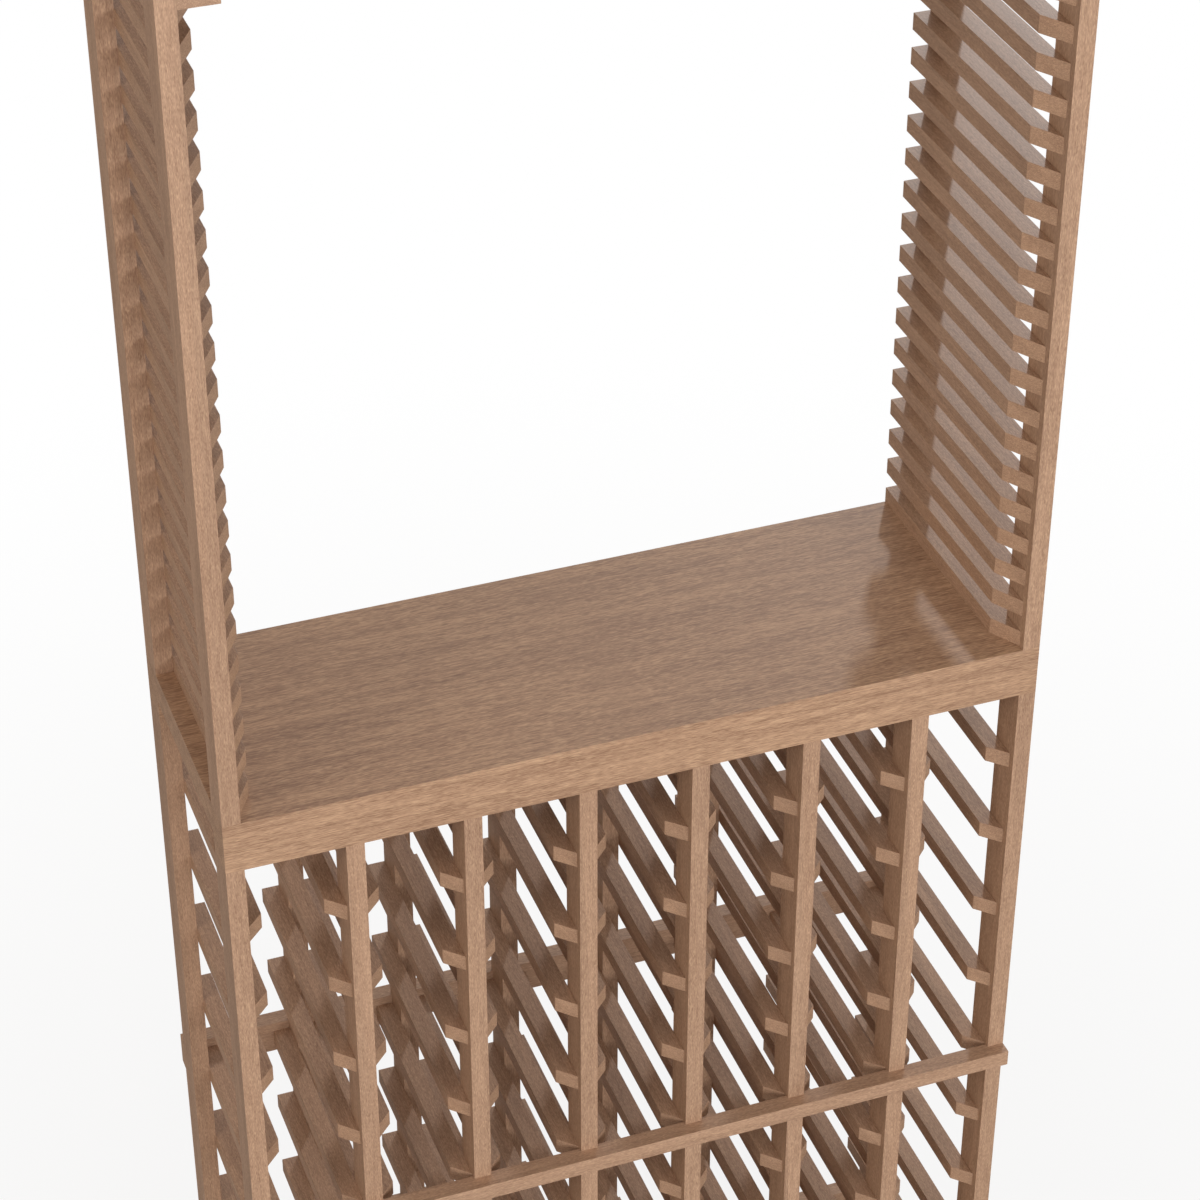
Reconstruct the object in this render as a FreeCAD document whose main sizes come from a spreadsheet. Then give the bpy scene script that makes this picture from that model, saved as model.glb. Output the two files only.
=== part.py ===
import FreeCAD, Part
import os

import Sketcher

# Wine tasting station in solid wood: bottle ladders under a counter, an open ladder at each
# end above it, and a hanging rack for stemware between the ladders' tops.
# +X runs to the right, +Y to the back, +Z up. The origin is on the floor, at the middle.

os.makedirs("parts", exist_ok=True)
doc = FreeCAD.newDocument("TastingStation")
sheet = doc.addObject("Spreadsheet::Sheet", "Sizes")

# Driving sizes in millimetres, with the counts of what repeats
sizes = [
    ("post_width", 17.5, "post, across the front"),
    ("post_depth", 38, "post, front to back"),
    ("unit_depth", 282, "front of the front posts to back of the rear posts"),
    ("column_count", 7, "bottle columns"),
    ("column_pitch", 112, "one divider to the next"),
    ("row_count", 10, "bottle rows"),
    ("row_pitch", 94.5, "one rail to the next below"),
    ("first_row_drop", 75.5, "counter underside to the top of the first rail"),
    ("toe_gap", 12, "floor to the underside of the lowest rail"),
    ("rail_width", 17.5, "bottle rail, across the front"),
    ("rail_height", 17, "bottle rail, thickness up and down"),
    ("rail_setback", 7.5, "front of the post to the rail's outer front corner"),
    ("rail_bevel", 17.5, "how far the rail's front bevel runs back"),
    ("ledge_row", 5, "bottle row whose rails the middle ledge is level with"),
    ("ledge_height", 18, "front ledge, up and down"),
    ("ledge_depth", 18, "front ledge, front to back"),
    ("rear_board_height", 37, "rear board, up and down"),
    ("rear_board_depth", 18, "rear board, front to back"),
    ("rear_board_rise", 10, "top of the rear board above the ledge's top"),
    ("housing_depth", 4.5, "how deep ledges and rear boards are let into the posts"),
    ("housing_clearance", 0.1, "play above and below a ledge or board in its notch"),
    ("counter_board_thickness", 32.5, "counter board"),
    ("counter_strip_height", 20.5, "strip under the counter's front and rear edge"),
    ("rung_count", 23, "rungs on each upper ladder"),
    ("rung_pitch", 34.75, "one rung to the next"),
    ("rung_width", 17.5, "upper rung, across the front"),
    ("rung_height", 17, "upper rung, thickness up and down"),
    ("rung_setback", 7.5, "front of the post to the rung's outer front corner"),
    ("rung_bevel", 30.3, "how far the rung's front bevel runs back"),
    ("slot_count", 7, "stemware slots"),
    ("end_flange_width", 34.4, "flange beside an upper post, across the front"),
    ("slot_width", 34.7, "gap between two flanges that a stem slides in"),
    ("flange_thickness", 17, "flange that the glasses' feet hang on"),
    ("web_thickness", 17.5, "spacer between flange and top panel"),
    ("web_height", 38, "room above the flanges for the feet"),
    ("top_panel_thickness", 17.5, "top panel"),
    ("dowel_diameter", 8, "dowel between post and counter"),
    ("counter_dowel_length", 30, "dowel in a lower post's top"),
    ("upper_dowel_length", 40, "dowel in an upper post's foot"),
    ("ledge_dowel_diameter", 6, "dowel between post and front ledge"),
    ("ledge_dowel_length", 20, "dowel behind a front ledge"),
    ("dowel_clearance", 0.05, "gap round a dowel"),
    ("dowel_end_gap", 1, "glue space at each end of a dowel"),
    ("screw_diameter", 4, "screw shank"),
    ("screw_head_diameter", 8, "screw head"),
    ("screw_head_height", 3, "screw head"),
    ("screw_recess", 0.5, "screw head below the wood's surface"),
    ("screw_tip_length", 4, "pointed end of a screw"),
    ("screw_clearance", 0.05, "gap round a screw"),
    ("screw_end_gap", 1, "pilot hole past a screw's tip"),
    ("counter_screw_length", 40, "screw up through a counter strip"),
    ("flange_screw_length", 45, "screw up through a flange"),
    ("panel_screw_length", 35, "screw down through the top panel"),
    ("rear_screw_length", 40, "screw through a rear board"),
    ("flange_screw_inset", 40, "flange screw from the rack's front and back"),
    ("panel_screw_inset", 80, "top panel screw from the rack's front and back"),
]
for row, (alias, value, note) in enumerate(sizes, start=1):
    sheet.set(f"A{row}", note)
    sheet.set(f"B{row}", str(value))
    sheet.setAlias(f"B{row}", alias)
doc.recompute()

# Places and lengths that follow from the driving sizes
unit_width = "(Sizes.column_count * Sizes.column_pitch + Sizes.post_width)"
inner_width = f"({unit_width} - 2 * Sizes.post_width)"
left = f"(-{unit_width} / 2)"
front = "(-Sizes.unit_depth / 2)"
rear_post_front = "(Sizes.unit_depth / 2 - Sizes.post_depth)"
rail_stack = "((Sizes.row_count - 1) * Sizes.row_pitch)"
counter_underside = f"(Sizes.first_row_drop + {rail_stack} + Sizes.rail_height + Sizes.toe_gap)"
counter_top = f"({counter_underside} + Sizes.counter_strip_height + Sizes.counter_board_thickness)"
base_ledge_top = "(Sizes.toe_gap + Sizes.rail_height)"
middle_ledge_top = f"({base_ledge_top} + (Sizes.row_count - Sizes.ledge_row) * Sizes.row_pitch)"
rung_stack = "((Sizes.rung_count - 1) * Sizes.rung_pitch)"
flange_underside = f"({counter_top} + {rung_stack} + Sizes.rung_height)"
web_underside = f"({flange_underside} + Sizes.flange_thickness)"
panel_underside = f"({web_underside} + Sizes.web_height)"
unit_height = f"({panel_underside} + Sizes.top_panel_thickness)"
upper_post_height = f"({unit_height} - {counter_top})"
inner_left = f"({left} + Sizes.post_width)"
slot_span = f"({inner_width} - 2 * Sizes.end_flange_width - Sizes.slot_width)"
slot_pitch = f"({slot_span} / (Sizes.slot_count - 1))"
inner_flange_width = f"({slot_pitch} - Sizes.slot_width)"
counterbore_depth = "(Sizes.screw_recess + Sizes.screw_head_height)"
post_centre_x = "(Sizes.post_width / 2)"
post_centre_y = "(Sizes.post_depth / 2)"
dowel_hole = "(Sizes.dowel_diameter + 2 * Sizes.dowel_clearance)"
ledge_dowel_hole = "(Sizes.ledge_dowel_diameter + 2 * Sizes.dowel_clearance)"
screw_hole = "(Sizes.screw_diameter + 2 * Sizes.screw_clearance)"
counterbore = "(Sizes.screw_head_diameter + 2 * Sizes.screw_clearance)"

pieces = []


def number(expression):
    return float(sheet.evalExpression(expression))


def count(expression):
    return int(round(number(expression)))


# A body whose corner stands at a place given by three expressions
def new_body(name, place, turn=None):
    body = doc.addObject("PartDesign::Body", name)
    body.Label = name
    body.AllowCompound = True
    if turn is not None:
        body.Placement = FreeCAD.Placement(FreeCAD.Vector(), turn)
    for axis, expression in zip("xyz", place):
        body.setExpression(f"Placement.Base.{axis}", expression)
    pieces.append(body)
    return body


def origin_feature(body, role):
    return next(item for item in body.Origin.OriginFeatures if item.Role == role)


# A sketch on one of the body's own planes, moved along that plane's normal by an expression
def new_sketch(body, name, plane, offset=None):
    sketch = body.newObject("Sketcher::SketchObject", f"{body.Name}_{name}")
    sketch.AttachmentSupport = (origin_feature(body, plane), [""])
    sketch.MapMode = "FlatFace"
    if offset is not None:
        sketch.setExpression("AttachmentOffset.Base.z", offset)
    return sketch


# Ties one point of a sketch to a place given by two expressions, where None is zero
def fix_point(sketch, geometry, point, place):
    for kind, axis_line, expression in zip(("DistanceX", "DistanceY"), (-2, -1), place):
        if expression is None:
            sketch.addConstraint(Sketcher.Constraint("PointOnObject", geometry, point, axis_line))
            continue
        value = number(expression)
        index = sketch.addConstraint(Sketcher.Constraint(kind, -1, 1, geometry, point, value))
        sketch.setExpression(f"Constraints[{index}]", expression)


def sketch_point(place):
    x, y = (0 if expression is None else number(expression) for expression in place)
    return FreeCAD.Vector(x, y, 0)


# A closed outline through corners that are each given by two expressions
def add_outline(sketch, corners):
    first = sketch.GeometryCount
    for corner, following in zip(corners, corners[1:] + corners[:1]):
        sketch.addGeometry(Part.LineSegment(sketch_point(corner), sketch_point(following)), False)
    for index, corner in enumerate(corners):
        line = first + index
        previous = first + (index - 1) % len(corners)
        sketch.addConstraint(Sketcher.Constraint("Coincident", previous, 2, line, 1))
        fix_point(sketch, line, 1, corner)


def add_rectangle(sketch, low_x, low_y, high_x, high_y):
    add_outline(sketch, [(low_x, low_y), (high_x, low_y), (high_x, high_y), (low_x, high_y)])


def add_circle(sketch, centre, diameter):
    radius = number(diameter) / 2
    normal = FreeCAD.Vector(0, 0, 1)
    circle = sketch.addGeometry(Part.Circle(sketch_point(centre), normal, radius), False)
    index = sketch.addConstraint(Sketcher.Constraint("Diameter", circle, 2 * radius))
    sketch.setExpression(f"Constraints[{index}]", diameter)
    fix_point(sketch, circle, 3, centre)


def add_pad(body, sketch, length):
    pad = body.newObject("PartDesign::Pad", f"{sketch.Name}_pad")
    pad.Profile = sketch
    pad.setExpression("Length", length)
    return pad


# A cut against the sketch's normal, or along it when ahead is true; right through without a depth
def add_pocket(body, sketch, depth=None, ahead=False):
    pocket = body.newObject("PartDesign::Pocket", f"{sketch.Name}_pocket")
    pocket.Profile = sketch
    pocket.Reversed = ahead
    if depth is None:
        pocket.Type = "ThroughAll"
    else:
        pocket.setExpression("Length", depth)
    return pocket


def add_pattern(body, features, role, length, occurrences):
    pattern = body.newObject("PartDesign::LinearPattern", f"{features[0].Name}_row")
    pattern.Originals = features
    pattern.Direction = (origin_feature(body, role), [""])
    pattern.setExpression("Length", length)
    pattern.setExpression("Occurrences", occurrences)
    body.Tip = pattern
    return pattern


# A straight board: its section on the floor plane, padded up
def new_board(name, place, width, depth, height):
    body = new_body(name, place)
    sketch = new_sketch(body, "section", "XY_Plane")
    add_rectangle(sketch, None, None, width, depth)
    add_pad(body, sketch, height)
    return body


# Round blind holes in a board, from a plane's offset inwards
def drill(body, name, plane, offset, centres, diameter, depth, ahead=False):
    sketch = new_sketch(body, name, plane, offset)
    for centre in centres:
        add_circle(sketch, centre, diameter)
    return add_pocket(body, sketch, depth, ahead)


def notch_range(top, height):
    low = f"({top} - {height} - Sizes.housing_clearance)"
    return low, f"({top} + Sizes.housing_clearance)"


def rear_board_top(ledge_top):
    return f"({ledge_top} + Sizes.rear_board_rise)"


def ledge_centre(ledge_top):
    return f"({ledge_top} - Sizes.ledge_height / 2)"


def rear_board_centre(ledge_top):
    return f"({rear_board_top(ledge_top)} - Sizes.rear_board_height / 2)"


ledge_tops = [middle_ledge_top, base_ledge_top]


def add_post_top_hole(post):
    depth = "Sizes.counter_dowel_length / 2 + Sizes.dowel_end_gap"
    centres = [(post_centre_x, post_centre_y)]
    drill(post, "top_dowel", "XY_Plane", counter_underside, centres, dowel_hole, depth)


# Lower front posts, notched for the ledges and drilled for their dowels
def make_lower_front_post(index):
    place = (f"{left} + {index} * Sizes.column_pitch", front, "0")
    name = f"lower_front_post_{index + 1}"
    post = new_board(name, place, "Sizes.post_width", "Sizes.post_depth", counter_underside)
    notches = new_sketch(post, "notches", "YZ_Plane")
    for top in ledge_tops:
        low, high = notch_range(top, "Sizes.ledge_height")
        add_rectangle(notches, None, low, "Sizes.housing_depth", high)
    add_pocket(post, notches, ahead=True)
    centres = [(post_centre_x, ledge_centre(top)) for top in ledge_tops]
    depth = "Sizes.ledge_dowel_length / 2 + Sizes.dowel_end_gap"
    drill(post, "ledge_dowels", "XZ_Plane", "-Sizes.housing_depth", centres, ledge_dowel_hole, depth)
    add_post_top_hole(post)


# Lower rear posts, notched for the rear boards and drilled for their screws
def make_lower_rear_post(index):
    place = (f"{left} + {index} * Sizes.column_pitch", rear_post_front, "0")
    name = f"lower_rear_post_{index + 1}"
    post = new_board(name, place, "Sizes.post_width", "Sizes.post_depth", counter_underside)
    notch_floor = "(Sizes.post_depth - Sizes.housing_depth)"
    notches = new_sketch(post, "notches", "YZ_Plane")
    for top in ledge_tops:
        low, high = notch_range(rear_board_top(top), "Sizes.rear_board_height")
        add_rectangle(notches, notch_floor, low, "Sizes.post_depth", high)
    add_pocket(post, notches, ahead=True)
    centres = [(post_centre_x, rear_board_centre(top)) for top in ledge_tops]
    reach = "Sizes.screw_recess + Sizes.rear_screw_length + Sizes.screw_end_gap"
    depth = f"{reach} - Sizes.rear_board_depth"
    drill(post, "screws", "XZ_Plane", f"-{notch_floor}", centres, screw_hole, depth, ahead=True)
    add_post_top_hole(post)


# Bottle rails on one side of a column: a stack of bars with a bevelled front end
def make_rails(column, side):
    outer = "Sizes.rail_setback"
    inner = "(Sizes.rail_setback + Sizes.rail_bevel)"
    if side == "left":
        x = f"{left} + {column} * Sizes.column_pitch + Sizes.post_width"
        front_left, front_right = outer, inner
    else:
        x = f"{left} + {column + 1} * Sizes.column_pitch - Sizes.rail_width"
        front_left, front_right = inner, outer
    body = new_body(f"column_{column + 1}_rails_{side}", (x, front, "Sizes.toe_gap"))
    sketch = new_sketch(body, "plan", "XY_Plane")
    corners = [
        (None, front_left),
        ("Sizes.rail_width", front_right),
        ("Sizes.rail_width", "Sizes.unit_depth"),
        (None, "Sizes.unit_depth"),
    ]
    add_outline(sketch, corners)
    rail = add_pad(body, sketch, "Sizes.rail_height")
    add_pattern(body, [rail], "Z_Axis", rail_stack, "Sizes.row_count")
    seats = new_sketch(body, "rear_board_seats", "YZ_Plane")
    seat = "(Sizes.unit_depth - Sizes.housing_depth)"
    ledge_rail = "((Sizes.row_count - Sizes.ledge_row) * Sizes.row_pitch)"
    ledge_rail_top = f"({ledge_rail} + Sizes.rail_height)"
    add_rectangle(seats, seat, None, "Sizes.unit_depth", "Sizes.rail_height")
    add_rectangle(seats, seat, ledge_rail, "Sizes.unit_depth", ledge_rail_top)
    add_pocket(body, seats, ahead=True)


# Front ledge across all front posts, with a row of blind holes behind it
def make_front_ledge(name, top):
    y = f"{front} - Sizes.ledge_depth + Sizes.housing_depth"
    place = (left, y, f"{top} - Sizes.ledge_height")
    ledge = new_board(name, place, unit_width, "Sizes.ledge_depth", "Sizes.ledge_height")
    centres = [(post_centre_x, "(Sizes.ledge_height / 2)")]
    depth = "Sizes.ledge_dowel_length / 2 + Sizes.dowel_end_gap"
    behind = "-Sizes.ledge_depth"
    hole = drill(ledge, "dowel", "XZ_Plane", behind, centres, ledge_dowel_hole, depth, ahead=True)
    reach = "Sizes.column_count * Sizes.column_pitch"
    add_pattern(ledge, [hole], "X_Axis", reach, "Sizes.column_count + 1")


# Rear board across all rear posts, with a counterbored screw hole at each post
def make_rear_board(name, top):
    y = "Sizes.unit_depth / 2 - Sizes.housing_depth"
    place = (left, y, f"{rear_board_top(top)} - Sizes.rear_board_height")
    board = new_board(name, place, unit_width, "Sizes.rear_board_depth", "Sizes.rear_board_height")
    centres = [(post_centre_x, "(Sizes.rear_board_height / 2)")]
    behind = "-Sizes.rear_board_depth"
    hole = drill(board, "hole", "XZ_Plane", behind, centres, screw_hole, None, ahead=True)
    recess = drill(
        board, "counterbore", "XZ_Plane", behind, centres, counterbore, counterbore_depth, ahead=True
    )
    reach = "Sizes.column_count * Sizes.column_pitch"
    add_pattern(board, [hole, recess], "X_Axis", reach, "Sizes.column_count + 1")


# Places of the counter's screws, at the middle of every second column
counter_screw_x = "((Sizes.column_pitch + Sizes.post_width) / 2)"
counter_screw_count = "floor((Sizes.column_count + 1) / 2)"
counter_screw_reach = f"({counter_screw_count} - 1) * 2 * Sizes.column_pitch"


# Strip under the counter's front or rear edge, on top of one row of lower posts
def make_counter_strip(name, y):
    depth = "Sizes.post_depth"
    strip = new_board(name, (left, y, counter_underside), unit_width, depth, "Sizes.counter_strip_height")
    dowel_depth = "Sizes.counter_dowel_length / 2 + Sizes.dowel_end_gap"
    centres = [(post_centre_x, post_centre_y)]
    dowel = drill(strip, "dowel", "XY_Plane", None, centres, dowel_hole, dowel_depth, ahead=True)
    reach = "Sizes.column_count * Sizes.column_pitch"
    add_pattern(strip, [dowel], "X_Axis", reach, "Sizes.column_count + 1")
    centres = [(counter_screw_x, post_centre_y)]
    hole = drill(strip, "hole", "XY_Plane", None, centres, screw_hole, None, ahead=True)
    recess = drill(
        strip, "counterbore", "XY_Plane", None, centres, counterbore, counterbore_depth, ahead=True
    )
    add_pattern(strip, [hole, recess], "X_Axis", counter_screw_reach, counter_screw_count)


# Counter board, drilled below for its screws and above for the upper posts' dowels
def make_counter_board():
    z = f"{counter_underside} + Sizes.counter_strip_height"
    thickness = "Sizes.counter_board_thickness"
    board = new_board("counter_board", (left, front, z), unit_width, "Sizes.unit_depth", thickness)
    rear_y = "(Sizes.unit_depth - Sizes.post_depth / 2)"
    centres = [(counter_screw_x, post_centre_y), (counter_screw_x, rear_y)]
    reach = "Sizes.screw_recess + Sizes.counter_screw_length + Sizes.screw_end_gap"
    depth = f"{reach} - Sizes.counter_strip_height"
    pilots = drill(board, "pilots", "XY_Plane", None, centres, screw_hole, depth, ahead=True)
    add_pattern(board, [pilots], "X_Axis", counter_screw_reach, counter_screw_count)
    right_x = f"({unit_width} - Sizes.post_width / 2)"
    corners = [(x, y) for x in (post_centre_x, right_x) for y in (post_centre_y, rear_y)]
    depth = "Sizes.upper_dowel_length / 2 + Sizes.dowel_end_gap"
    drill(board, "dowels", "XY_Plane", thickness, corners, dowel_hole, depth)


# Upper posts at the counter's corners
def make_upper_post(name, x, y):
    place = (x, y, counter_top)
    post = new_board(name, place, "Sizes.post_width", "Sizes.post_depth", upper_post_height)
    depth = "Sizes.upper_dowel_length / 2 + Sizes.dowel_end_gap"
    centres = [(post_centre_x, post_centre_y)]
    drill(post, "dowel", "XY_Plane", None, centres, dowel_hole, depth, ahead=True)


# Rungs of one upper ladder: a stack of bars with a long bevel at the front
def make_rungs(side):
    outer = "Sizes.rung_setback"
    inner = "(Sizes.rung_setback + Sizes.rung_bevel)"
    if side == "left":
        x = inner_left
        front_left, front_right = outer, inner
    else:
        x = f"{inner_left} + {inner_width} - Sizes.rung_width"
        front_left, front_right = inner, outer
    body = new_body(f"upper_rungs_{side}", (x, front, counter_top))
    sketch = new_sketch(body, "plan", "XY_Plane")
    corners = [
        (None, front_left),
        ("Sizes.rung_width", front_right),
        ("Sizes.rung_width", "Sizes.unit_depth"),
        (None, "Sizes.unit_depth"),
    ]
    add_outline(sketch, corners)
    rung = add_pad(body, sketch, "Sizes.rung_height")
    add_pattern(body, [rung], "Z_Axis", rung_stack, "Sizes.rung_count")


# Left edge of each flange and of each web, from the left upper post's inner face
def flange_span(index, last):
    if index == 0:
        return None, "Sizes.end_flange_width"
    low = f"(Sizes.end_flange_width + {index - 1} * {slot_pitch} + Sizes.slot_width)"
    if index == last:
        return low, "Sizes.end_flange_width"
    return low, inner_flange_width


def web_low(index, last):
    if index == 0:
        return None
    if index == last:
        return f"({inner_width} - Sizes.web_thickness)"
    low, width = flange_span(index, last)
    return f"({low} + {width} / 2 - Sizes.web_thickness / 2)"


def web_centre(index, last):
    low = web_low(index, last)
    if low is None:
        return "(Sizes.web_thickness / 2)"
    return f"({low} + Sizes.web_thickness / 2)"


# The two places along the rack's depth that a row of screws has
def both_ends(inset):
    return [inset, f"(Sizes.unit_depth - {inset})"]


# Flange that the feet of the glasses hang on
def make_flange(index, last):
    low, width = flange_span(index, last)
    x = inner_left if low is None else f"{inner_left} + {low}"
    place = (x, front, flange_underside)
    name = f"stem_flange_{index + 1}"
    flange = new_board(name, place, width, "Sizes.unit_depth", "Sizes.flange_thickness")
    screw_x = web_centre(index, last) if low is None else f"({web_centre(index, last)} - {low})"
    centres = [(screw_x, y) for y in both_ends("Sizes.flange_screw_inset")]
    drill(flange, "holes", "XY_Plane", None, centres, screw_hole, None, ahead=True)
    drill(
        flange, "counterbores", "XY_Plane", None, centres, counterbore, counterbore_depth, ahead=True
    )


# Webs that hold the flanges below the top panel
def make_webs(last):
    body = new_body("stem_webs", (inner_left, front, web_underside))
    sketch = new_sketch(body, "sections", "XY_Plane")
    for index in range(last + 1):
        low = web_low(index, last)
        high = "Sizes.web_thickness" if low is None else f"({low} + Sizes.web_thickness)"
        add_rectangle(sketch, low, None, high, "Sizes.unit_depth")
    add_pad(body, sketch, "Sizes.web_height")
    lines = [web_centre(index, last) for index in range(last + 1)]
    centres = [(x, y) for x in lines for y in both_ends("Sizes.flange_screw_inset")]
    reach = "Sizes.screw_recess + Sizes.flange_screw_length + Sizes.screw_end_gap"
    depth = f"{reach} - Sizes.flange_thickness"
    drill(body, "flange_pilots", "XY_Plane", None, centres, screw_hole, depth, ahead=True)
    centres = [(x, y) for x in lines for y in both_ends("Sizes.panel_screw_inset")]
    reach = "Sizes.screw_recess + Sizes.panel_screw_length + Sizes.screw_end_gap"
    depth = f"{reach} - Sizes.top_panel_thickness"
    drill(body, "panel_pilots", "XY_Plane", "Sizes.web_height", centres, screw_hole, depth)


# Top panel between the upper posts
def make_top_panel(last):
    place = (inner_left, front, panel_underside)
    thickness = "Sizes.top_panel_thickness"
    panel = new_board("top_panel", place, inner_width, "Sizes.unit_depth", thickness)
    lines = [web_centre(index, last) for index in range(last + 1)]
    centres = [(x, y) for x in lines for y in both_ends("Sizes.panel_screw_inset")]
    drill(panel, "holes", "XY_Plane", thickness, centres, screw_hole, None)
    drill(panel, "counterbores", "XY_Plane", thickness, centres, counterbore, counterbore_depth)


# Dowels that are half in each of the two pieces that meet at the body's own floor plane
def make_dowels(name, seam, centres, length, turn=None, diameter="Sizes.dowel_diameter"):
    body = new_body(name, seam, turn)
    sketch = new_sketch(body, "sections", "XY_Plane", f"-({length}) / 2")
    for centre in centres:
        add_circle(sketch, centre, diameter)
    return body, add_pad(body, sketch, length)


# One turned screw: its head's face lies a recess above the body's floor plane, its tip upwards
def add_screw(body, name, x, y, length):
    sketch = new_sketch(body, name, "XZ_Plane", f"-({y})")
    head_foot = "Sizes.screw_recess"
    head_seat = counterbore_depth
    tip = f"(Sizes.screw_recess + {length})"
    axis = f"({x})"
    head_edge = f"({x} + Sizes.screw_head_diameter / 2)"
    shank_edge = f"({x} + Sizes.screw_diameter / 2)"
    profile = [
        (axis, head_foot),
        (head_edge, head_foot),
        (head_edge, head_seat),
        (shank_edge, head_seat),
        (shank_edge, f"({tip} - Sizes.screw_tip_length)"),
        (axis, tip),
    ]
    add_outline(sketch, profile)
    closing_line = len(profile) - 1
    screw = body.newObject("PartDesign::Revolution", f"{sketch.Name}_turned")
    screw.Profile = sketch
    screw.ReferenceAxis = (sketch, [f"Edge{closing_line + 1}"])
    return screw


# Screws in two rows along X; the turn lays the body's upward axis into the wood
def make_screws(name, place, turn, x, rows, length, reach, occurrences):
    body = new_body(name, place, turn)
    screws = [add_screw(body, f"screw_{index}", x, y, length) for index, y in enumerate(rows)]
    add_pattern(body, screws, "X_Axis", reach, occurrences)
    return body


# Rack screws: the end webs' pair of rows, then the inner webs' rows
def make_rack_screws(name, place, turn, inset, length):
    last_slot = "(Sizes.slot_count - 1)"
    ends_reach = f"{inner_width} - Sizes.web_thickness"
    rows = both_ends(inset)
    if turn is not None:
        rows = [f"-{y}" for y in rows]
    edge = "Sizes.web_thickness / 2"
    body = make_screws(name, place, turn, edge, rows, length, ends_reach, "2")
    inner_x = f"(Sizes.end_flange_width + Sizes.slot_width + {inner_flange_width} / 2)"
    inner = [add_screw(body, f"inner_{index}", inner_x, y, length) for index, y in enumerate(rows)]
    inner_reach = f"({last_slot} - 1) * {slot_pitch}"
    add_pattern(body, inner, "X_Axis", inner_reach, last_slot)


for post_index in range(count("Sizes.column_count") + 1):
    make_lower_front_post(post_index)
    make_lower_rear_post(post_index)
for column_index in range(count("Sizes.column_count")):
    make_rails(column_index, "left")
    make_rails(column_index, "right")
make_front_ledge("middle_front_ledge", middle_ledge_top)
make_front_ledge("base_front_ledge", base_ledge_top)
make_rear_board("middle_rear_board", middle_ledge_top)
make_rear_board("base_rear_board", base_ledge_top)
make_counter_strip("counter_front_strip", front)
make_counter_strip("counter_rear_strip", rear_post_front)
make_counter_board()
upper_right_x = f"{inner_left} + {inner_width}"
make_upper_post("upper_front_post_left", left, front)
make_upper_post("upper_front_post_right", upper_right_x, front)
make_upper_post("upper_rear_post_left", left, rear_post_front)
make_upper_post("upper_rear_post_right", upper_right_x, rear_post_front)
make_rungs("left")
make_rungs("right")
last_flange = count("Sizes.slot_count")
for flange_index in range(last_flange + 1):
    make_flange(flange_index, last_flange)
make_webs(last_flange)
make_top_panel(last_flange)

# Dowels between the lower posts and the counter, the counter and the upper posts, and the
# front posts and the ledges
post_row_reach = "Sizes.column_count * Sizes.column_pitch"
rear_centre_y = "(Sizes.unit_depth - Sizes.post_depth / 2)"
counter_pair = [(post_centre_x, post_centre_y), (post_centre_x, rear_centre_y)]
counter_seam = (left, front, counter_underside)
dowel_body, dowel_pad = make_dowels(
    "counter_dowels", counter_seam, counter_pair, "Sizes.counter_dowel_length"
)
add_pattern(dowel_body, [dowel_pad], "X_Axis", post_row_reach, "Sizes.column_count + 1")
upper_seam = (left, front, counter_top)
dowel_body, dowel_pad = make_dowels(
    "upper_post_dowels", upper_seam, counter_pair, "Sizes.upper_dowel_length"
)
add_pattern(dowel_body, [dowel_pad], "X_Axis", post_row_reach, "2")
lay_back = FreeCAD.Rotation(FreeCAD.Vector(1, 0, 0), 90)
ledge_seam = (left, f"{front} + Sizes.housing_depth", "0")
ledge_pair = [(post_centre_x, ledge_centre(top)) for top in ledge_tops]
dowel_body, dowel_pad = make_dowels(
    "ledge_dowels",
    ledge_seam,
    ledge_pair,
    "Sizes.ledge_dowel_length",
    lay_back,
    "Sizes.ledge_dowel_diameter",
)
add_pattern(dowel_body, [dowel_pad], "X_Axis", post_row_reach, "Sizes.column_count + 1")

# Screws of the counter, the rear boards, the flanges and the top panel
make_screws(
    "counter_screws",
    counter_seam,
    None,
    counter_screw_x,
    [post_centre_y, rear_centre_y],
    "Sizes.counter_screw_length",
    counter_screw_reach,
    counter_screw_count,
)
rear_face = "Sizes.unit_depth / 2 + Sizes.rear_board_depth - Sizes.housing_depth"
make_screws(
    "rear_board_screws",
    (left, rear_face, "0"),
    lay_back,
    post_centre_x,
    [rear_board_centre(top) for top in ledge_tops],
    "Sizes.rear_screw_length",
    post_row_reach,
    "Sizes.column_count + 1",
)
flange_face = (inner_left, front, flange_underside)
make_rack_screws(
    "flange_screws", flange_face, None, "Sizes.flange_screw_inset", "Sizes.flange_screw_length"
)
upside_down = FreeCAD.Rotation(FreeCAD.Vector(1, 0, 0), 180)
panel_face = (inner_left, front, unit_height)
make_rack_screws(
    "top_panel_screws", panel_face, upside_down, "Sizes.panel_screw_inset", "Sizes.panel_screw_length"
)

doc.recompute()

# Every feature has to be sound, and every cut has to take wood away
for item in doc.Objects:
    if "Invalid" in item.State or "Error" in item.State:
        raise RuntimeError(f"{item.Name} failed: {item.State}")
    if item.TypeId == "PartDesign::Pocket":
        if item.Shape.Volume >= item.BaseFeature.Shape.Volume:
            raise RuntimeError(f"{item.Name} cuts nothing")
for piece in pieces:
    if piece.Shape.isNull() or not piece.Shape.isValid():
        raise RuntimeError(f"{piece.Label} has no sound shape")

for piece in pieces:
    piece.Shape.exportStep(f"parts/{piece.Label}.step")
    box = piece.Shape.BoundBox
    print(
        f"{piece.Label}: {len(piece.Shape.Solids)} solids,"
        f" x {box.XMin:.2f} to {box.XMax:.2f}, y {box.YMin:.2f} to {box.YMax:.2f},"
        f" z {box.ZMin:.2f} to {box.ZMax:.2f}"
    )
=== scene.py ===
import math

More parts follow.
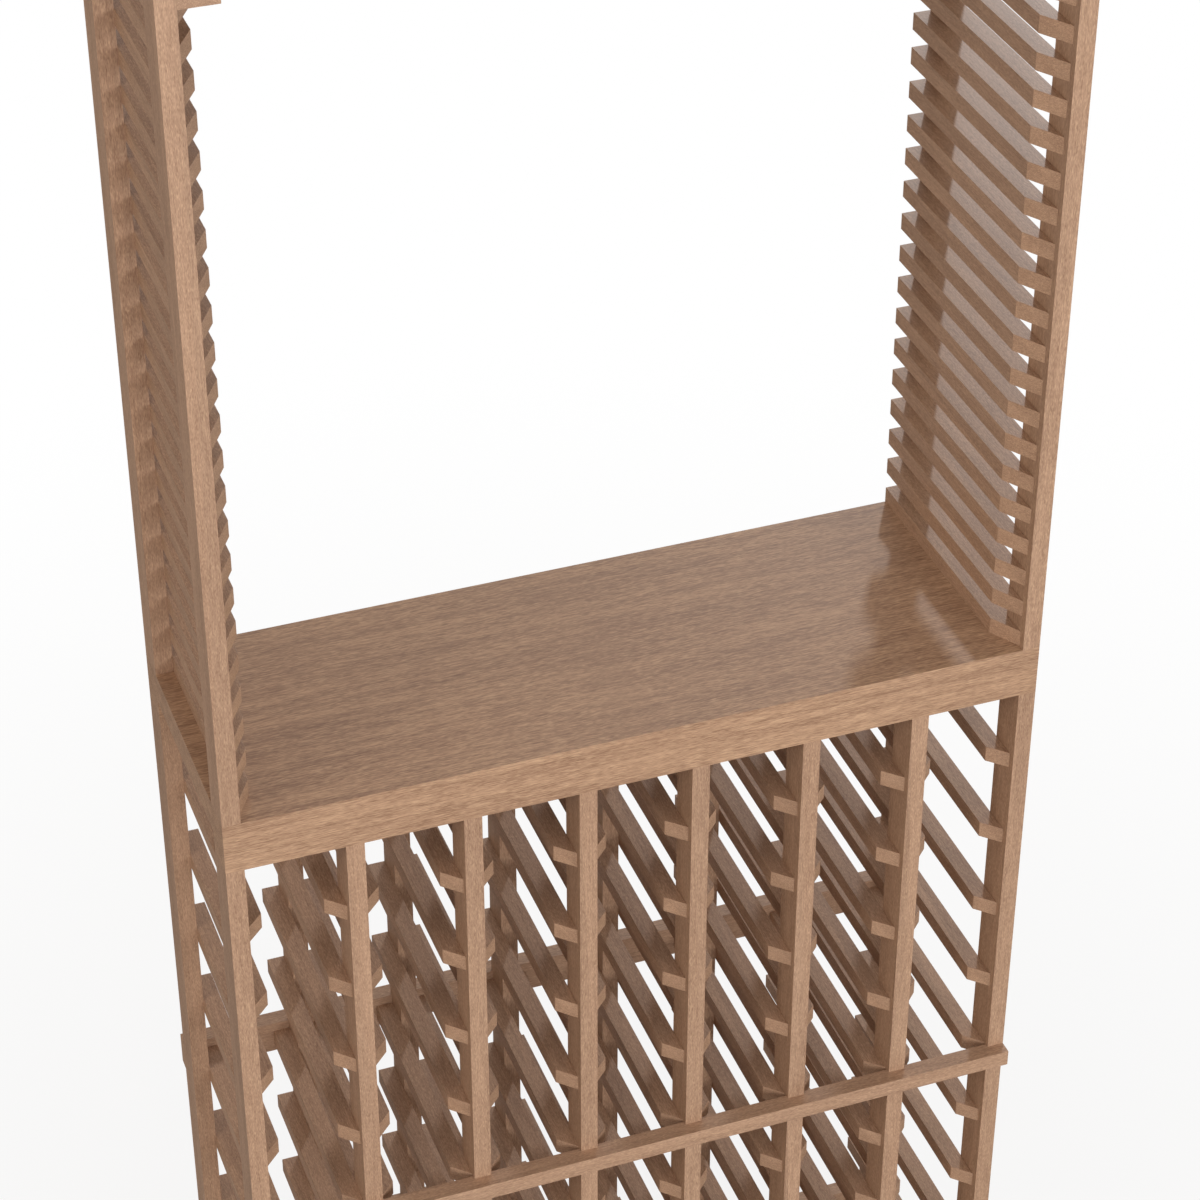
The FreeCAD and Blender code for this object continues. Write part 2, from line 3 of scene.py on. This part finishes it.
import bpy
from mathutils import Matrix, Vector

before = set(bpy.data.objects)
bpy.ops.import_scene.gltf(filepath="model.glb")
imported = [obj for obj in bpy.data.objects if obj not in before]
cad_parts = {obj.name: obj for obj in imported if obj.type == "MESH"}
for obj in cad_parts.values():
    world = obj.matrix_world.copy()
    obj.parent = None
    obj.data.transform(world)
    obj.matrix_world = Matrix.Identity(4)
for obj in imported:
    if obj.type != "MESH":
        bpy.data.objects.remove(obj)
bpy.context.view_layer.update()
print("frame loaded:", len(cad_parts), "nodes")

mm = 0.001


# sRGB hex to the linear colour that Blender works in
def hexColour(code):
    channels = [int(code[at:at + 2], 16) / 255 for at in (1, 3, 5)]
    linear = [c / 12.92 if c <= 0.04045 else ((c + 0.055) / 1.055) ** 2.4 for c in channels]
    return (*linear, 1.0)


# One node with its settings; an input that is given a socket is linked, any other is set. The Mix
# node's sockets share their names, so they go by number: colours 6 and 7 in, colour 2 out.
def addNode(tree, kind, settings=None, inputs=None):
    node = tree.nodes.new(kind)
    for name, value in (settings or {}).items():
        setattr(node, name, value)
    for name, value in (inputs or {}).items():
        if isinstance(value, bpy.types.NodeSocket):
            tree.links.new(value, node.inputs[name])
        else:
            node.inputs[name].default_value = value
    return node


def newMaterial(name):
    material = bpy.data.materials.new(name)
    material.use_nodes = True
    material.node_tree.nodes.clear()
    return material, material.node_tree


# Light mahogany, planed, sanded and finished with a satin lacquer: an even reddish brown with
# short fine fibres along the grain, slow bands of tone and dark pores. The film is rather matt, so
# it shows a pale sheen where a lamp stands low behind it and no mirror image. Widths, lengths,
# shifts and depths are mm; a share is how far a layer pulls the tone between dark and light.
mahogany = {
    "dark": "#906F58",
    "light": "#B9967B",
    "bandWidth": 24,
    "bandLength": 320,
    "bandShare": 0.9,
    "streakWidth": 1.7,
    "streakLength": 30,
    "streakShare": 1.2,
    "fibreWidth": 0.7,  # real fibres are finer; drawn this wide so that they show at all
    "fibreLength": 3.5,
    "fibreShare": 1.4,
    "fleck": "#D2B18F",
    "fleckWidth": 0.8,
    "fleckLength": 4,
    "fleckStrength": 0.3,
    "pore": "#714F36",
    "poreWidth": 0.7,
    "poreLength": 5,
    "poreStrength": 0.3,
    "poreDepth": 0.05,
    "poreBump": 0.25,
    "markFrom": 0.58,  # a fleck or pore begins where its noise reaches this level
    "markFull": 0.68,  # and has its full strength from this one
    "waveWidth": 70,
    "waveLength": 160,
    "waveShift": 5,
    "edgeShare": 1.0,  # width of the figure on a plank's edge, against its width on the face
    "pieceTone": 0.05,  # so much lighter or darker a stick may be than the next
    "figureJump": (5000.0, 3050.0, 4150.0),  # how far at most a stick's figure is moved
    "stickSpread": 7.31,  # sets the sticks of one node far apart in the figure
    "roughness": 0.53,
    "filmIor": 1.5,
}


# Grain runs along one axis. Each separate stick gets its own place in the figure, except the
# counter's pieces, which are glued up from one plank and share theirs.
def makeWood(name, look, grainAxis, ownFigure=True):
    material, tree = newMaterial(name)
    place = addNode(tree, "ShaderNodeTexCoord")
    scaled = addNode(tree, "ShaderNodeVectorMath", {"operation": "SCALE"},
                     {0: place.outputs["Object"], "Scale": 1 / mm})
    vector = scaled.outputs[0]
    tone = None
    if ownFigure:
        whole = addNode(tree, "ShaderNodeObjectInfo")
        stick = addNode(tree, "ShaderNodeNewGeometry")
        spread = addNode(tree, "ShaderNodeMath", {"operation": "MULTIPLY_ADD"},
                         {0: stick.outputs["Random Per Island"], 1: look["stickSpread"],
                          2: whole.outputs["Random"]})
        chance = addNode(tree, "ShaderNodeMath", {"operation": "FRACT"}, {0: spread.outputs[0]})
        jump = addNode(tree, "ShaderNodeCombineXYZ", None, dict(enumerate(look["figureJump"])))
        shift = addNode(tree, "ShaderNodeVectorMath", {"operation": "SCALE"},
                        {0: jump.outputs[0], "Scale": chance.outputs[0]})
        moved = addNode(tree, "ShaderNodeVectorMath", {"operation": "ADD"},
                        {0: vector, 1: shift.outputs[0]})
        vector = moved.outputs[0]
        tone = chance.outputs[0]
    parts = addNode(tree, "ShaderNodeSeparateXYZ", None, {0: vector})
    order = {"X": (1, 2, 0), "Y": (0, 2, 1), "Z": (0, 1, 2)}[grainAxis]
    sideA, sideB, along = (parts.outputs[index] for index in order)

    # Noise whose features are so wide across the grain and so long along it
    def grainNoise(width, length, detail, side=sideA):
        sizes = ((side, width), (sideB, width * look["edgeShare"]), (along, length))
        counts = [addNode(tree, "ShaderNodeMath", {"operation": "DIVIDE"}, {0: socket, 1: size})
                  for socket, size in sizes]
        counted = addNode(tree, "ShaderNodeCombineXYZ", None,
                          {index: count.outputs[0] for index, count in enumerate(counts)})
        noise = addNode(tree, "ShaderNodeTexNoise", None,
                        {"Vector": counted.outputs[0], "Scale": 1.0, "Detail": detail})
        return noise.outputs["Fac"]

    wave = grainNoise(look["waveWidth"], look["waveLength"], 1.0)
    bend = addNode(tree, "ShaderNodeMapRange", {"clamp": False},
                   {"Value": wave, "To Min": -look["waveShift"], "To Max": look["waveShift"]})
    bent = addNode(tree, "ShaderNodeMath", {"operation": "ADD"}, {0: bend.outputs[0], 1: sideA})
    side = bent.outputs[0]
    grain = 0.5  # halfway from dark to light, before the layers pull it either way
    for layer, detail in (("band", 2.0), ("streak", 2.0), ("fibre", 1.0)):
        value = grainNoise(look[layer + "Width"], look[layer + "Length"], detail, side)
        share = look[layer + "Share"]
        centred = addNode(tree, "ShaderNodeMapRange", {"clamp": False},
                          {"Value": value, "To Min": -share / 2, "To Max": share / 2})
        grain = addNode(tree, "ShaderNodeMath", {"operation": "ADD"},
                        {0: grain, 1: centred.outputs[0]}).outputs[0]
    colour = addNode(tree, "ShaderNodeMix", {"data_type": "RGBA"},
                     {0: grain, 6: hexColour(look["dark"]), 7: hexColour(look["light"])})
    for layer in ("fleck", "pore"):
        value = grainNoise(look[layer + "Width"], look[layer + "Length"], 0.0, side)
        mark = addNode(tree, "ShaderNodeMapRange", None,
                       {"Value": value, "From Min": look["markFrom"], "From Max": look["markFull"],
                        "To Max": look[layer + "Strength"]})
        colour = addNode(tree, "ShaderNodeMix", {"data_type": "RGBA"},
                         {0: mark.outputs[0], 6: colour.outputs[2], 7: hexColour(look[layer])})
    if tone is not None:
        level = addNode(tree, "ShaderNodeMapRange", None,
                        {"Value": tone, "To Min": 1 - look["pieceTone"],
                         "To Max": 1 + look["pieceTone"]})
        colour = addNode(tree, "ShaderNodeMix", {"data_type": "RGBA", "blend_type": "MULTIPLY"},
                         {0: 1.0, 6: colour.outputs[2], 7: level.outputs[0]})
    # The last marks drawn are the pores, so they are what sinks into the surface
    bump = addNode(tree, "ShaderNodeBump", {"invert": True},
                   {"Height": mark.outputs[0], "Strength": look["poreBump"],
                    "Distance": look["poreDepth"] * mm})
    shader = addNode(tree, "ShaderNodeBsdfPrincipled", None,
                     {"Base Color": colour.outputs[2], "Roughness": look["roughness"],
                      "IOR": look["filmIor"], "Normal": bump.outputs[0]})
    addNode(tree, "ShaderNodeOutputMaterial", None, {"Surface": shader.outputs[0]})
    return material


# The counter is one wide figured plank: narrower bands and stronger, longer marks than the sticks
figured = dict(mahogany, dark="#8F6D55", light="#BA9678", bandWidth=13, bandLength=250,
               bandShare=1.6, streakWidth=1.8, streakLength=30, streakShare=1.7, fibreWidth=0.9,
               fibreLength=6, fibreShare=2.1, fleckWidth=1.1, fleckLength=12, fleckStrength=0.36,
               poreWidth=1.1, poreLength=14, poreStrength=0.42, waveWidth=60, waveLength=150,
               waveShift=3.5, edgeShare=0.6)

# Bare beech dowels: pale, close-grained, matt. They lie inside the wood.
beech = dict(mahogany, dark="#C8A67C", light="#DCC09A", fleck="#E8D2B2", pore="#9A7650",
             roughness=0.6)

uprightWood = makeWood("lacqueredMahoganyUpright", mahogany, "Z")
deepWood = makeWood("lacqueredMahoganyFrontToBack", mahogany, "Y")
acrossWood = makeWood("lacqueredMahoganyAcross", mahogany, "X")
counterWood = makeWood("lacqueredMahoganyCounter", figured, "X", ownFigure=False)
dowelWood = makeWood("bareBeech", beech, "Z")


# Zinc-plated steel screws: a greyish bright metal with a faintly mottled plating
zinc = {
    "base": "#B9B9B4",
    "shade": "#98989A",
    "roughness": 0.32,
    "mottle": 1.5,  # mm from one patch of the plating to the next
}


def makeZinc():
    material, tree = newMaterial("zincPlatedSteel")
    place = addNode(tree, "ShaderNodeTexCoord")
    mottle = addNode(tree, "ShaderNodeTexNoise", None,
                     {"Vector": place.outputs["Object"], "Scale": 1 / (zinc["mottle"] * mm)})
    colour = addNode(tree, "ShaderNodeMix", {"data_type": "RGBA"},
                     {0: mottle.outputs["Fac"], 6: hexColour(zinc["base"]),
                      7: hexColour(zinc["shade"])})
    shader = addNode(tree, "ShaderNodeBsdfPrincipled", None,
                     {"Base Color": colour.outputs[2], "Metallic": 1.0,
                      "Roughness": zinc["roughness"]})
    addNode(tree, "ShaderNodeOutputMaterial", None, {"Surface": shader.outputs[0]})
    return material


zincSteel = makeZinc()
print("materials made")

# What each kind of node is made of, by the start of its name, and whether its edges are eased. The
# counter's board and strips meet in one flush face, so their edges stay sharp.
finishes = [
    (("lower_front_post", "lower_rear_post", "upper_front_post", "upper_rear_post"),
     uprightWood, True),
    (("column_", "upper_rungs", "stem_flange", "stem_webs"), deepWood, True),
    (("middle_", "base_", "top_panel"), acrossWood, True),
    (("counter_board", "counter_front_strip", "counter_rear_strip"), counterWood, False),
    (("counter_dowels", "upper_post_dowels", "ledge_dowels"), dowelWood, False),
    (("counter_screws", "rear_board_screws", "flange_screws", "top_panel_screws"),
     zincSteel, False),
]
easedEdge = {
    "width": 0.3,  # mm that the sandpaper takes off
    "segments": 2,
    "sharpFrom": 30,  # degrees that an edge turns at least
    "merge": 0.01,  # mm within which the corners of neighbouring faces are one point
}


def finishNode(node, material, eased):
    node.data.materials.clear()
    node.data.materials.append(material)
    if eased:
        weld = node.modifiers.new("weld", "WELD")
        weld.merge_threshold = easedEdge["merge"] * mm
        bevel = node.modifiers.new("easedEdge", "BEVEL")
        bevel.width = easedEdge["width"] * mm
        bevel.segments = easedEdge["segments"]
        bevel.limit_method = "ANGLE"
        bevel.angle_limit = math.radians(easedEdge["sharpFrom"])
        bevel.harden_normals = True


for nodeName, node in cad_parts.items():
    material, eased = next(row[1:] for row in finishes if nodeName.startswith(row[0]))
    finishNode(node, material, eased)
print("nodes finished")


# White studio: pale floor, white surroundings, two soft lamps in front, a soft fill from the left
# and a low lamp far behind, which draws the sheen on the top faces, with a wash from the same
# place that lights the wood and makes no sheen. Places and sizes are metres.
studio = {
    "floorSize": 24,
    "floorColour": "#DCDCDC",
    "floorGlow": 0.84,  # painted glow that makes the floor white; beside the unit it is only this strong, so the floor is painted darker round the foot and shows its real shadow there
    "whiteFrom": 2.4,  # from so far out the painted glow is full and the floor is as white as the surroundings
    "floorInGloss": 0.22,  # so much of the white floor shows in the satin film
    "ambient": 0.38,
    "ambientColour": "#FFF0E0",
    "target": (0.0, 0.0, 1.05),  # the point that all lamps face
}
# Each lamp: degrees round from straight behind the unit towards its right, degrees up, metres
# away, size in metres, watts, colour, and whether the lacquer shows it
lamps = {
    "leftKey": (-172, 14, 8.0, 3.4, 266, "#FBFDFF", True),
    "rightKey": (158, 13, 8.0, 2.6, 191, "#FBFDFF", True),
    "fillLight": (-116, 27, 7.0, 3.0, 95, "#FFF4EA", True),
    "rimLight": (31.5, 14, 12.0, 0.6, 335, "#FFFFFF", True),
    "rimWash": (31.5, 14, 12.0, 0.6, 200, "#FFFFFF", False),
}


# Whether a ray shows what it meets directly, through something clear or in a reflection, and
# whether it is a reflection
def seenRay(tree):
    path = addNode(tree, "ShaderNodeLightPath")
    first = addNode(tree, "ShaderNodeMath", {"operation": "MAXIMUM"},
                    {0: path.outputs["Is Camera Ray"], 1: path.outputs["Is Glossy Ray"]})
    both = addNode(tree, "ShaderNodeMath", {"operation": "MAXIMUM"},
                   {0: first.outputs[0], 1: path.outputs["Is Transmission Ray"]})
    return both.outputs[0], path.outputs["Is Glossy Ray"]


def makeFloor():
    half = studio["floorSize"] / 2
    mesh = bpy.data.meshes.new("floor")
    mesh.from_pydata([(-half, -half, 0), (half, -half, 0), (half, half, 0), (-half, half, 0)], [],
                     [(0, 1, 2, 3)])
    floor = bpy.data.objects.new("floor", mesh)
    bpy.context.scene.collection.objects.link(floor)
    material, tree = newMaterial("paleStudioFloor")
    seen, glossy = seenRay(tree)
    matt = addNode(tree, "ShaderNodeBsdfDiffuse", None,
                   {"Color": hexColour(studio["floorColour"])})
    strength = addNode(tree, "ShaderNodeMapRange", None,
                       {"Value": glossy, "To Min": 1.0, "To Max": studio["floorInGloss"]})
    glow = addNode(tree, "ShaderNodeEmission", None,
                   {"Color": (1, 1, 1, 1), "Strength": strength.outputs[0]})
    place = addNode(tree, "ShaderNodeTexCoord")
    away = addNode(tree, "ShaderNodeVectorMath", {"operation": "LENGTH"},
                   {0: place.outputs["Object"]})
    # The floor's white is a painted glow that fades toward the unit, a painted darker pool round
    # its foot with the real shadow inside it
    glowHere = addNode(tree, "ShaderNodeMapRange", {"interpolation_type": "SMOOTHSTEP"},
                       {"Value": away.outputs["Value"], "From Max": studio["whiteFrom"],
                        "To Min": studio["floorGlow"]})
    direct = addNode(tree, "ShaderNodeMath", {"operation": "MULTIPLY"},
                     {0: seen, 1: glowHere.outputs[0]})
    share = addNode(tree, "ShaderNodeMath", {"operation": "MAXIMUM"},
                    {0: direct.outputs[0], 1: glossy})
    mixed = addNode(tree, "ShaderNodeMixShader", None,
                    {0: share.outputs[0], 1: matt.outputs[0], 2: glow.outputs[0]})
    addNode(tree, "ShaderNodeOutputMaterial", None, {"Surface": mixed.outputs[0]})
    mesh.materials.append(material)


def makeWorld():
    world = bpy.data.worlds.new("whiteStudio")
    bpy.context.scene.world = world
    world.use_nodes = True
    tree = world.node_tree
    tree.nodes.clear()
    seen = seenRay(tree)[0]
    strength = addNode(tree, "ShaderNodeMapRange", None,
                       {"Value": seen, "To Min": studio["ambient"], "To Max": 1.0})
    colour = addNode(tree, "ShaderNodeMix", {"data_type": "RGBA"},
                     {0: seen, 6: hexColour(studio["ambientColour"]), 7: (1, 1, 1, 1)})
    sky = addNode(tree, "ShaderNodeBackground", None,
                  {"Color": colour.outputs[2], "Strength": strength.outputs[0]})
    addNode(tree, "ShaderNodeOutputWorld", None, {"Surface": sky.outputs[0]})


def makeLamp(name, turn, rise, distance, size, power, colour, inGloss):
    lamp = bpy.data.lights.new(name, "AREA")
    lamp.shape = "SQUARE"
    lamp.size = size
    lamp.energy = power
    lamp.color = hexColour(colour)[:3]
    holder = bpy.data.objects.new(name, lamp)
    holder.visible_glossy = inGloss
    turn, rise = math.radians(turn), math.radians(rise)
    toLamp = Vector((math.sin(turn) * math.cos(rise), math.cos(turn) * math.cos(rise),
                     math.sin(rise)))
    holder.location = Vector(studio["target"]) + distance * toLamp
    holder.rotation_euler = toLamp.to_track_quat("Z", "Y").to_euler()
    bpy.context.scene.collection.objects.link(holder)


makeFloor()
makeWorld()
for lampName, lampPlan in lamps.items():
    makeLamp(lampName, *lampPlan)
print("studio made")


# The photograph's viewpoint, solved from the unit's own edges
photoCamera = {
    "place": (-0.8754, -2.4183, 2.8565),  # metres
    "turn": -20.04,  # degrees; minus turns it from straight ahead to the right
    "down": 34.85,  # degrees below level
    "lens": 99.92,  # mm, as is the sensor
    "sensor": 36,
}


def makeCamera():
    lens = bpy.data.cameras.new("photoCamera")
    lens.lens = photoCamera["lens"]
    lens.sensor_width = photoCamera["sensor"]
    lens.sensor_fit = "HORIZONTAL"
    camera = bpy.data.objects.new("photoCamera", lens)
    camera.location = photoCamera["place"]
    tilt = math.radians(90 - photoCamera["down"])
    camera.rotation_euler = (tilt, 0, math.radians(photoCamera["turn"]))
    bpy.context.scene.collection.objects.link(camera)
    bpy.context.scene.camera = camera


makeCamera()
bpy.context.scene.view_settings.view_transform = "Standard"
print("camera placed")
